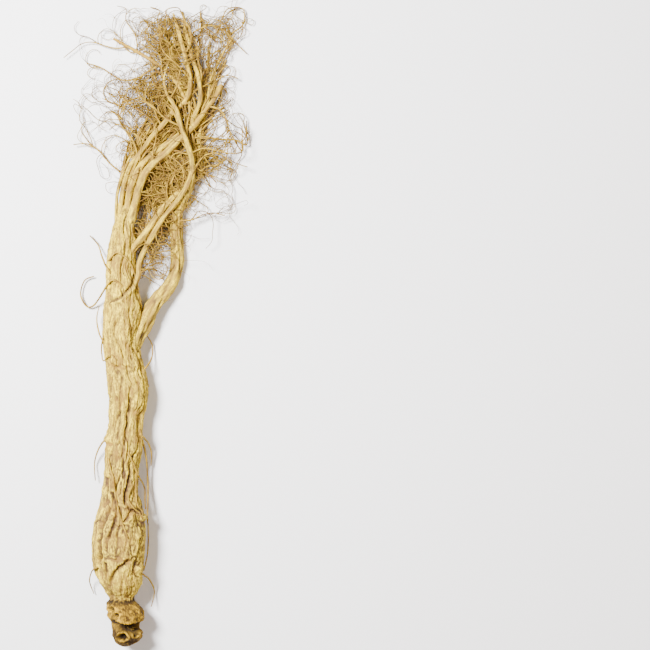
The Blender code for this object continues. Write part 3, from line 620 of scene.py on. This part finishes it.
# branch roots
branchRoots = {
    "sideBranchSpacing": 0.5, "sideBranchSides": 48,
    "strandSpacing": 0.7, "strandSides": 16,
    "tipStain": 0.35, "baseStain": 0.05, "spurStain": 0.55,
    # noise over the skin, as bends round the root, length in millimetres and shift
    "noise": [(1.25, 16, 0), (2.6, 7, 13), (0.3, 4.5, 29), (1.9, 1.6, 43)],
    "ridges": 0.30, "fineRidges": 0.10, "fine": 0.07, "swell": 0.12, "creases": 0.035,
    "sideBranch": [
        (3.2, 90.5, 5.6, 3), (7.1, 98.3, 5, 3), (10.2, 104.4, 4.2, 2.9), (13.6, 109.6, 3.4, 2.7),
        (17.2, 113.9, 2.6, 2.6), (19.4, 119.7, 2, 2.45), (19.8, 126.5, 1.9, 2.35), (19.4, 134.7, 2, 2.2),
        (20.1, 142, 2.4, 1.8), (21.4, 147.5, 2.8, 1.2),
    ],
    # the length of a strand's name decides on which side its first rootlet leaves, as in the solid
    "strands": {
        "thick": [
            (1.2, 130, 6, 1.8), (3.2, 137.6, 6.2, 1.7), (5, 143.6, 6.1, 1.5), (6.8, 151.3, 5.6, 1.5),
            (9.5, 156.2, 5.2, 1.5), (15, 161.1, 4.6, 1.45), (20.4, 166.4, 4, 1.3),
            (26.2, 172.3, 3.6, 1.1), (29.9, 177.4, 3.2, 0.95), (34, 182.9, 2.9, 0.9),
            (35.4, 185.6, 2.8, 1.15), (36.2, 187.4, 2.8, 0.6),
        ],
        "second": [
            (0.6, 130, 5.8, 1.6), (1.8, 139, 5.7, 1.4), (2.9, 148.4, 4.8, 1.15), (5.8, 156.2, 4.2, 1.2),
            (11.9, 162.4, 3.4, 1.2), (19, 167.6, 2.6, 1.1), (24.4, 173, 2.4, 1), (28.3, 181, 3, 0.9),
            (28, 189.5, 3.6, 0.85), (25.2, 198, 3.4, 0.75), (23.4, 206.5, 2.8, 0.6), (22, 213, 2, 0.35),
        ],
        "inner": [
            (-0.8, 130, 5.4, 1.4), (-0.6, 139.4, 5, 1.15), (0.4, 150.6, 3.8, 0.9), (3.8, 159.4, 3, 0.9),
            (10.4, 166.6, 2.2, 0.9), (15.6, 172.4, 2, 0.85), (19, 177.4, 2.4, 0.85),
            (23.6, 182.4, 3.4, 0.85), (25, 188.9, 4.4, 0.85), (22.8, 198.2, 4.6, 0.8),
            (20.6, 206.4, 3.8, 0.65), (18.4, 213.6, 2.6, 0.35),
        ],
        "outer": [
            (-1.6, 131, 4.6, 0.9), (-2.4, 140.4, 3.9, 0.65), (-1.4, 150.6, 2.8, 0.5),
            (2.4, 160.6, 2, 0.45), (7.8, 168, 1.5, 0.45), (13.6, 173.6, 1.4, 0.45),
            (19, 180.6, 1.5, 0.4), (22.4, 189, 1.7, 0.3), (23.4, 195, 1.9, 0.2),
        ],
        "stub": [
            (0.2, 131, 4.4, 1.1), (0.9, 142, 3.6, 0.95), (3.4, 156, 2.6, 0.85), (9.4, 166.4, 3.4, 0.95),
            (14.4, 172, 4, 0.95), (18.6, 177.2, 4.4, 0.85),
        ],
        "crossing": [
            (20, 139, 2.4, 1.3), (23, 146.4, 3.2, 1.3), (25.5, 153, 4.4, 1.2), (25.4, 159.4, 6, 1.1),
            (23.8, 165.8, 7.2, 1), (21.6, 171.6, 7, 0.9), (19.9, 178, 6, 0.75), (16.4, 183.6, 5, 0.5),
            (15.2, 189.4, 4.2, 0.35), (17, 196, 3.4, 0.2),
        ],
        "branchTail": [
            (20.2, 140, 2.4, 1.4), (23.8, 148, 2.2, 1.3), (26.6, 156.4, 2, 1.1), (27.6, 165, 1.8, 0.95),
            (28.6, 172, 1.7, 0.8), (31, 180.2, 1.7, 0.65), (32.4, 189.6, 1.9, 0.5),
            (36.6, 198.8, 1.9, 0.4), (41, 206, 1.6, 0.2),
        ],
        "front": [
            (3, 110, 7, 0.9), (5.9, 116.3, 7.4, 1), (6.6, 121.6, 7.2, 1), (9.6, 129, 6.4, 1.05),
            (14.6, 137.4, 5.6, 1.05), (21, 145.6, 5, 1), (24.4, 151.6, 5.4, 0.9),
            (26.4, 160.6, 4.2, 0.7), (25.2, 170.2, 3, 0.5), (22, 178.2, 2, 0.3),
        ],
        "frontOther": [
            (1.6, 123, 7.2, 1.2), (5, 128, 7, 1.3), (9.3, 133.4, 5.8, 1.3), (14.4, 141.4, 4.6, 1.2),
            (20.4, 147.8, 3.8, 1), (24.8, 153.2, 3, 0.7), (29, 159.4, 2, 0.4), (32, 166, 1.4, 0.2),
        ],
        "leftward": [
            (25.2, 174, 2.6, 0.7), (24, 181.4, 2, 0.7), (20.2, 189.6, 1.7, 0.6), (18, 198.4, 1.7, 0.5),
            (19.2, 207.6, 1.8, 0.25),
        ],
        "brownSpur": [
            (23.2, 180, 3.2, 0.7), (20.6, 186.6, 2.6, 0.7), (14.6, 193.4, 2, 0.65),
            (6.8, 198.6, 1.9, 0.6), (0.4, 202.2, 2, 0.6), (-3.6, 204.4, 2.2, 0.45),
        ],
        "low": [
            (0.6, 133, 4.6, 0.7), (3.6, 141, 3, 0.65), (7, 148.4, 1.9, 0.6), (11.8, 155.4, 1.4, 0.5),
            (15, 163, 1.3, 0.35), (14, 171, 1.5, 0.2),
        ],
    },
}


def directions(places):
    ahead = np.gradient(places, axis=0)
    return ahead / np.maximum(np.linalg.norm(ahead, axis=1, keepdims=True), 1e-9)


def tubeRings(route, sides, relief=None):
    # rings of points round a route, and the skin's own coordinates for the streaks
    centre, radius = route[:, :3], route[:, 3]
    ahead = directions(centre)
    travelled = np.concatenate([[0], np.cumsum(np.linalg.norm(np.diff(centre, axis=0), axis=1))])
    across = np.cross(ahead[0], (0, 0, 1))
    across /= max(np.linalg.norm(across), 1e-9)
    acrossAll = np.empty_like(centre)
    for i, direction in enumerate(ahead):
        across = across - direction * across.dot(direction)
        across = across / max(np.linalg.norm(across), 1e-9)
        acrossAll[i] = across
    upAll = np.cross(acrossAll, ahead)
    turn = np.linspace(0, 2 * math.pi, sides, endpoint=False)
    cosines, sines = np.cos(turn)[None, :, None], np.sin(turn)[None, :, None]
    grain = np.empty((len(route), sides, 3))
    grain[:, :, 0] = radius[:, None] * np.cos(turn)
    grain[:, :, 1] = radius[:, None] * np.sin(turn)
    grain[:, :, 2] = travelled[:, None]
    reach = np.repeat(radius[:, None], sides, axis=1)
    if relief is not None:
        reach = relief(grain, reach)
    outward = acrossAll[:, None, :] * cosines + upAll[:, None, :] * sines
    points = centre[:, None, :] + reach[:, :, None] * outward
    points[:, :, 2] = np.maximum(points[:, :, 2], 0.03)
    return points, grain, reach


def sweepTubes(name, tubes, sides, material, relief=None, tones=None):
    # many tubes in one mesh: each is a route with its stain, tones darken whole tubes, and skin sunk
    # below the plain tube gets painted shade
    allPoints, allGrain, allStain, allFurrowAndShade, faces = [], [], [], [], []
    start = 0
    for number, (route, stain) in enumerate(tubes):
        route = np.array(route)
        endCap = np.array([route[-1] + (route[-1] - route[-2]) * 0.3])
        endCap[0, 3] = 0.25 * route[-1, 3]
        route = np.concatenate([route, endCap])
        points, grain, reach = tubeRings(route, sides, relief)
        shifted = grain + np.array([7.3, 3.1, 17]) * (number + 1)
        rows = len(route)
        allPoints.append(points.reshape(-1, 3))
        allGrain.append(shifted.reshape(-1, 3))
        allStain.append(np.repeat(np.append(stain, stain[-1]), sides))
        plain = np.repeat(route[:, 3:4], sides, axis=1)
        tone = tones[number] if tones is not None else 0
        # painted shade where the skin sinks below the plain tube, plus the tube's own tone
        allFurrowAndShade.append(np.clip((plain - reach) / plain * 5 + tone, 0, 1).ravel())
        faces.extend(ringFaces(start, rows, sides, flipped=True))
        start += rows * sides
    masks = {
        "grain": np.concatenate(allGrain), "furrowAndShade": np.concatenate(allFurrowAndShade),
        "stain": np.concatenate(allStain),
    }
    makeObject(name, np.concatenate(allPoints), faces, masks, material)


def branchRelief(grain, reach):
    # lengthwise ridges, swellings and a few rings on a branch root
    flat = grain.reshape(-1, 3)
    unit = flat / np.array([reach.ravel(), reach.ravel(), np.ones(len(flat))]).T

    def noise(around, length, shift):
        return softNoise(unit * (around, around, 1) / (1, 1, length) + shift)

    ridges, fine, swell, creases = (noise(*size) for size in branchRoots["noise"])
    scale = 1 + branchRoots["ridges"] * (1 - np.exp(-np.abs(ridges) / 0.25)) - 0.20
    scale = scale + branchRoots["fine"] * fine + branchRoots["swell"] * swell
    fineTop = branchRoots["fineRidges"] * (1 - np.exp(-np.abs(fine) / 0.15)) - 0.06
    scale += fineTop + branchRoots["creases"] * creases
    return reach * scale.reshape(reach.shape)


def stainAlongRoute(route, number, base, tip, markStrength=0.6):
    # a few brown marks, and a darker far end
    far = np.linspace(0, 1, len(route))
    level = np.full(len(route), number * 1.7)
    marks = softNoise(np.stack([route[:, 0] / 5, route[:, 1] / 5, level], axis=1))
    return np.clip(base + markStrength * ease(0.35, 0.75, marks) + tip * far ** 2, 0, 1)


def buildBranchRoots():
    route = smoothRoute(branchRoots["sideBranch"], branchRoots["sideBranchSpacing"])
    tubes = [(route, stainAlongRoute(route, 0, 0, 0.1, 0.25))]
    sweepTubes("sideBranch", tubes, branchRoots["sideBranchSides"], branchSkin, branchRelief)
    tubes = []
    for number, (name, points) in enumerate(branchRoots["strands"].items()):
        route = smoothRoute(points, branchRoots["strandSpacing"])
        base = branchRoots["spurStain" if name == "brownSpur" else "baseStain"]
        tubes.append((route, stainAlongRoute(route, number + 1, base, branchRoots["tipStain"])))
    sweepTubes("branchStrands", tubes, branchRoots["strandSides"], branchSkin, branchRelief)


buildBranchRoots()
print("branch roots made")

# rootlets
rootlets = {
    "trunk": [
        (0.42, [(2, 112), (-2.6, 115.4), (-6.8, 111.2), (-10.8, 106.4), (-13.6, 106),
                (-15.8, 110.2), (-14.4, 115.4), (-11, 117)]),
        (0.40, [(-5, 121.6), (-1.6, 125.2), (1.8, 123.6), (4.2, 120.2), (5.4, 114.6),
                (6.6, 109), (7.4, 102.6)]),
        (0.38, [(-2.8, 117), (-5.6, 120.6), (-7.6, 124.2), (-9.4, 128.6), (-12.4, 132)]),
        (0.52, [(-4.8, 52), (-3.6, 46.9), (-2.3, 44), (-1.9, 40.5), (-0.7, 34.7),
                (1, 29.2), (3.5, 22.6)]),
        (0.40, [(4.8, 42), (3.2, 37.6), (3.5, 35.3), (5.8, 32.3), (7.2, 31), (8.2, 29)]),
        (0.40, [(6.6, 62), (8.6, 52), (9.2, 40.6), (9.6, 28.6), (9.6, 17), (8.2, 9.6)]),
        (0.34, [(-5.6, 57.6), (-8.6, 54), (-10.6, 48.4), (-10.2, 42)]),
        (0.34, [(-5, 92), (-8.2, 95.6), (-9.6, 101.2), (-8.6, 106)]),
        (0.36, [(7.6, 82), (10.2, 86), (10.6, 91.4), (8.6, 95.6)]),
        (0.34, [(5.8, 60), (8.6, 57.6), (10.4, 52.8), (10.2, 47.4)]),
        (0.32, [(-7, 12), (-10.4, 9.8), (-12.2, 5), (-11, 0.2)]),
        (0.32, [(7, 10), (9.8, 6.6), (11.4, 1.4), (10.6, -4)]),
        (0.42, [(5.4, 46.5), (5.5, 40.5), (5.9, 35.6), (6.8, 33), (7.9, 31.6), (8.3, 29.6)]),
        (0.42, [(2.6, 54), (5.1, 47.9), (6.6, 43.5), (8.2, 39.4), (8.5, 35), (8.8, 32)]),
        (0.30, [(-6, 96), (-7.6, 90.4), (-6.6, 86), (-3.6, 88.4), (-1.6, 87),
                (-1.4, 84.6), (-3, 84.8)]),
    ],
    "trunkSpacing": 0.7, "trunkTaper": 0.45,
    "sinkLength": 2.5, "sinkDepth": 2,  # its first length dives under the skin
    "sides": 8,
    "tipStain": 0.25,
    "seed": 17,
    "perStrand": 4, "perThinStrand": 3, "stoutRadius": 1.05,
    "beardSpacing": 0.9,
    "length": (15, 34),
    "radius": (0.26, 0.42),
    "steps": 6,
    "top": 9,
    "sideLimits": (-19, 43),
    "alongLimit": 214,
}


def overTrunk(side, along):
    # height of the main root's skin, or of a rootlet that stands off beside it
    hit = trunkSkin.ray_cast((side, along, 60), (0, 0, -1))[0]
    centreSide, halfWidth, centreHeight = (float(v[0]) for v in stationAt(np.array([along])))
    beyond = abs(side - centreSide) / halfWidth
    beside = max(centreHeight - 1.2 * max(beyond - 1, 0) * halfWidth, 1.2)
    return max(hit.z, beside) if hit else beside


def trunkRootletRoutes():
    routes = []
    for radius, run in rootlets["trunk"]:
        points = [(side, along, 0, radius) for side, along in run]
        route = smoothRoute(points, rootlets["trunkSpacing"])
        share = np.linspace(0, 1, len(route))
        skin = np.array([overTrunk(side, along) for side, along in route[:, :2]])
        around = np.pad(skin, 3, mode="edge")
        raised = np.max([around[k:k + len(skin)] for k in range(7)], axis=0)
        route[:, 3] = radius * (1 - rootlets["trunkTaper"] * share)
        travelled = share * len(route) * rootlets["trunkSpacing"]
        sunk = rootlets["sinkDepth"] * (1 - ease(0, rootlets["sinkLength"], travelled))
        route[:, 2] = 0.5 * (skin + raised) + 0.7 * route[:, 3] - sunk
        routes.append(route)
    return routes


def curlRoute(dice, start, heading, length, radius):
    # the solid's rule for a rootlet, drawn with the same dice
    side, along, height = start
    steps = rootlets["steps"]
    step = length / steps
    bend = dice.uniform(-0.35, 0.35)
    phase = dice.uniform(0, 2 * math.pi)
    climb = dice.uniform(-0.22, 0.30)
    low, high = rootlets["sideLimits"]
    route = [(side, along, height, radius)]
    for i in range(steps):
        heading += bend + 0.45 * math.sin(phase + 1.3 * i)
        if not low <= side <= high:
            heading = math.pi / 2
        if along > rootlets["alongLimit"]:
            heading += math.pi / 2
        side += step * math.cos(heading)
        along += step * math.sin(heading)
        height = min(max(height + step * climb * math.cos(0.9 * i), 1), rootlets["top"])
        route.append((side, along, height, radius * (1 - 0.5 * (i + 1) / steps)))
    return route


def beardRoutes():
    dice = random.Random(rootlets["seed"])
    routes = []
    for name, points in branchRoots["strands"].items():
        route = smoothRoute(points, 2)
        stout = max(point[3] for point in points) > rootlets["stoutRadius"]
        count = rootlets["perStrand"] if stout else rootlets["perThinStrand"]
        for i in range(count):
            share = 0.35 + 0.62 * (i + dice.uniform(0.1, 0.9)) / count
            k = min(int(share * len(route)), len(route) - 3)
            here, beyond = route[k], route[k + 2]
            heading = math.atan2(beyond[1] - here[1], beyond[0] - here[0])
            turn = dice.uniform(0.45, 1.1) * (1 if (i + len(name)) % 2 else -1)
            length = dice.uniform(*rootlets["length"])
            radius = min(dice.uniform(*rootlets["radius"]), 0.9 * here[3])
            run = curlRoute(dice, here[:3], heading + turn, length, radius)
            routes.append(smoothRoute(run, rootlets["beardSpacing"]))
    return routes


def stainedTubes(routes, firstNumber, base, tip):
    numbered = enumerate(routes, firstNumber)
    return [(route, stainAlongRoute(route, number, base, tip)) for number, route in numbered]


def buildRootlets():
    onTrunk, inBeard = trunkRootletRoutes(), beardRoutes()
    tubes = stainedTubes(onTrunk + inBeard, 40, 0, rootlets["tipStain"])
    sweepTubes("rootlets", tubes, rootlets["sides"], rootletSkin, branchRelief)
    return inBeard


thickBeard = buildRootlets()
print("rootlets made")

# the fine beard
fineBeard = {
    "seed": 23,
    # from: how far out on its parent a rootlet may begin; turn: how much it turns away
    "curl": {"count": 330, "length": (9, 28), "radius": (0.13, 0.27), "reach": 9,
             "wildness": 1, "from": 0.3, "turn": 0.8},
    "hair": {"count": 800, "length": (5, 16), "radius": (0.05, 0.11), "reach": 6,
             "wildness": 1.2, "from": 0.1, "turn": 1},
    "nestWildness": 1.3, "nestReach": 0.8,
    "followers": 130, "followerRadius": (0.25, 0.55),
    "curlSides": 5, "followerSides": 8, "hairSides": 4, "hairStain": 0.15, "tipStain": 0.2,
    "step": 0.9, "parentSpacing": 1.5,
    "sag": 0.12, "bendStep": 0.085, "slopeStep": 0.12, "kinkShare": 0.06, "kinkTurn": 0.7, "steer": 0.4,
    "sideLimits": (-15, 39), "alongLimit": 211,
    # tangles between the branch roots: side, along, radius, how many curls
    "nests": [
        (14, 146, 7.5, 100), (18.5, 154, 6.5, 60), (9, 151, 5, 30), (12, 180, 8, 45),
        (4, 186, 8, 25), (27, 158, 6, 25), (28, 196, 9, 30), (14, 203, 8, 30), (9.5, 131, 5.5, 45),
        (15, 136, 5, 35), (12, 121, 4, 16),
    ],
}


def steerInward(side, along, heading):
    # a turn that keeps the beard as wide and as long as the solid's
    low, high = fineBeard["sideLimits"]
    turn = fineBeard["steer"]
    across, ahead = math.cos(heading), math.sin(heading)
    if side < low and across < 0.3:
        return -turn if ahead > 0 else turn
    if side > high and across > -0.3:
        return turn if ahead > 0 else -turn
    if along > fineBeard["alongLimit"] and ahead > -0.3:
        return turn if across < 0 else -turn
    return 0


def wander(dice, start, heading, length, radius, wildness, home, reach):
    # a thin rootlet that curls in loose arcs, stays near its home and sinks to the table
    steps = max(6, int(length / fineBeard["step"]))
    step = length / steps
    side, along, height = start
    bend = dice.normal(0, 0.08)
    slope = dice.normal(-0.15, 0.2)
    route = []
    for i in range(steps + 1):
        route.append((side, along, height, radius * (1 - 0.55 * i / steps)))
        bend += dice.normal(0, fineBeard["bendStep"]) * wildness - 0.10 * bend
        slope += dice.normal(0, fineBeard["slopeStep"]) * wildness - 0.1 * (slope + fineBeard["sag"])
        away = math.hypot(side - home[0], along - home[1])
        if away > reach:
            back = math.atan2(home[1] - along, home[0] - side) - heading
            back = (back + math.pi) % (2 * math.pi) - math.pi
            heading += max(-0.3, min(0.3, back))
        kinked = dice.random() < fineBeard["kinkShare"] * wildness
        kink = dice.normal(0, fineBeard["kinkTurn"]) if kinked else 0
        heading += bend + kink + steerInward(side, along, heading)
        if height < 0.9:
            slope = abs(slope) * 0.5
        if height > start[2] + 0.8:
            slope = -abs(slope)
        side += step * math.cos(heading)
        along += step * math.sin(heading)
        height = max(height + step * slope, radius + 0.1)
    return np.array(route)


def follow(dice, parent, radius):
    # a rootlet that runs beside a branch root for a while, then leaves it
    first = int(dice.uniform(0.1, 0.7) * len(parent))
    count = int(dice.uniform(12, 30))
    run = parent[first:first + count].copy()
    if len(run) < 8:
        return None
    share = np.linspace(0, 1, len(run))
    ahead = directions(run[:, :2])
    away = dice.uniform(2, 9) * (1 if dice.random() < 0.5 else -1)
    sway = 0.7 * np.sin(share * dice.uniform(6, 14) + dice.uniform(0, 6.3))
    offset = away * share ** 1.6 + sway * share
    run[:, 0] -= ahead[:, 1] * offset
    run[:, 1] += ahead[:, 0] * offset
    run[:, 2] = np.maximum(run[:, 2] * (1 - 0.7 * share) + 0.3 * sway, radius + 0.1)
    run[:, 3] = radius * (1 - 0.5 * share)
    low, high = fineBeard["sideLimits"]
    inside = (run[:, 0] > low) & (run[:, 0] < high)
    stop = len(run) if inside.all() else int(np.argmin(inside))
    return smoothRoute(run[:stop], 1) if stop >= 8 else None


def growFrom(dice, parents, kind):
    # fine rootlets that leave thicker ones somewhere on their way out, more from longer ones
    sizes = np.array([len(route) for route in parents], dtype=float)
    reach = kind["reach"]
    grown = []
    for i in range(kind["count"]):
        parent = parents[dice.choice(len(parents), p=sizes / sizes.sum())]
        k = int(dice.uniform(kind["from"], 0.98) * (len(parent) - 2))
        here, beyond = parent[k], parent[k + 1]
        heading = math.atan2(beyond[1] - here[1], beyond[0] - here[0]) + dice.normal(0, kind["turn"])
        length = dice.uniform(*kind["length"])
        radius = min(dice.uniform(*kind["radius"]), 0.8 * here[3])
        home = (here[0] + 0.4 * reach * math.cos(heading), here[1] + 0.4 * reach * math.sin(heading))
        grown.append(wander(dice, here[:3], heading, length, radius, kind["wildness"], home, reach))
    return grown


def nestCurls(dice, parents):
    # rootlets that leave the branch roots around a tangle and curl up inside it
    allPlaces = np.concatenate(parents)
    curl, wildness = fineBeard["curl"], fineBeard["nestWildness"]
    curls = []
    for side, along, reach, count in fineBeard["nests"]:
        away = np.hypot(allPlaces[:, 0] - side, allPlaces[:, 1] - along)
        near = allPlaces[away < reach + 4]
        for i in range(count):
            here = near[dice.integers(len(near))]
            heading = math.atan2(along - here[1], side - here[0]) + dice.normal(0, 0.8)
            radius = min(dice.uniform(*curl["radius"]), 0.8 * here[3])
            length = dice.uniform(*curl["length"])
            home, roam = (side, along), fineBeard["nestReach"] * reach
            curls.append(wander(dice, here[:3], heading, length, radius, wildness, home, roam))
    return curls


def buildFineBeard():
    dice = np.random.default_rng(fineBeard["seed"])
    spacing = fineBeard["parentSpacing"]
    strands = {name: smoothRoute(run, spacing) for name, run in branchRoots["strands"].items()}
    parents = list(strands.values()) + thickBeard
    tip, sides = fineBeard["tipStain"], fineBeard["curlSides"]
    curls = growFrom(dice, parents, fineBeard["curl"])
    tones, tubes = dice.uniform(0, 0.9, len(curls)), stainedTubes(curls, 90, 0, tip)
    sweepTubes("fineRootlets", tubes, sides, rootletSkin, tones=tones)
    tangled = nestCurls(dice, parents)
    tones, tubes = dice.uniform(0, 0.9, len(tangled)), stainedTubes(tangled, 700, 0.05, tip)
    sweepTubes("tangledRootlets", tubes, sides, rootletSkin, tones=tones)
    # no rootlet runs beside the brown spur
    led = [route for name, route in strands.items() if name != "brownSpur"]
    followers = []
    for i in range(fineBeard["followers"]):
        parent = led[dice.integers(len(led))]
        route = follow(dice, parent, dice.uniform(*fineBeard["followerRadius"]))
        if route is not None:
            followers.append(route)
    tones, tubes = dice.uniform(-0.2, 0.5, len(followers)), stainedTubes(followers, 1200, 0, tip)
    sweepTubes("strandRootlets", tubes, fineBeard["followerSides"], rootletSkin, branchRelief, tones)
    hairs = growFrom(dice, parents + curls + tangled + followers, fineBeard["hair"])
    tubes = [(route, np.full(len(route), fineBeard["hairStain"])) for route in hairs]
    tones = dice.uniform(0.1, 0.9, len(hairs))
    sweepTubes("beardHairs", tubes, fineBeard["hairSides"], rootletSkin, tones=tones)


buildFineBeard()
print("fine beard made")

# table, light and camera
studio = {
    "tableSize": 3, "tableColour": (0.78, 0.78, 0.79), "tableRoughness": 0.6,
    # place in metres, size, power and colour of each light
    "lights": {
        "keyLight": ((-0.27, 0.20, 0.53), 0.20, 23.8, (1, 1, 1)),
        "fillLight": ((0.50, -0.15, 0.55), 0.8, 4.2, (1, 0.83, 0.70)),
    },
    "skyColour": (1, 0.93, 0.88), "skyStrength": 0.42,
    "cameraLens": 85, "sensorWidth": 36, "viewWidth": 0.240, "viewCentre": (0.062, 0),
}


def buildTable():
    mesh = bpy.data.meshes.new("table")
    half = studio["tableSize"] / 2
    corners = [(-half, -half, 0), (half, -half, 0), (half, half, 0), (-half, half, 0)]
    mesh.from_pydata(corners, [], [(0, 1, 2, 3)])
    material = bpy.data.materials.new("tableTop")
    material.use_nodes = True
    shader = material.node_tree.nodes["Principled BSDF"]
    colour = (*studio["tableColour"], 1)
    setInputs(shader, {"Base Color": colour, "Roughness": studio["tableRoughness"]})
    mesh.materials.append(material)
    table = addToScene("table", mesh)


def addAreaLight(name, place, size, power, colour):
    light = bpy.data.lights.new(name, "AREA")
    light.shape = "DISK"
    light.size = size
    light.energy = power
    light.color = colour
    obj = addToScene(name, light)
    obj.location = place
    obj.rotation_euler = (-obj.location).to_track_quat("-Z", "Y").to_euler()


def buildStudio():
    buildTable()
    for name, values in studio["lights"].items():
        addAreaLight(name, *values)
    world = bpy.data.worlds.new("studioSky")
    world.use_nodes = True
    sky = world.node_tree.nodes["Background"]
    setInputs(sky, {"Color": (*studio["skyColour"], 1), "Strength": studio["skyStrength"]})
    bpy.context.scene.world = world
    camera = bpy.data.cameras.new("topCamera")
    camera.lens = studio["cameraLens"]
    camera.sensor_width = studio["sensorWidth"]
    camera.clip_start = 0.01
    cameraObject = addToScene("topCamera", camera)
    distance = studio["viewWidth"] * camera.lens / camera.sensor_width
    cameraObject.location = (*studio["viewCentre"], distance)
    bpy.context.scene.camera = cameraObject


buildStudio()
print("studio made")
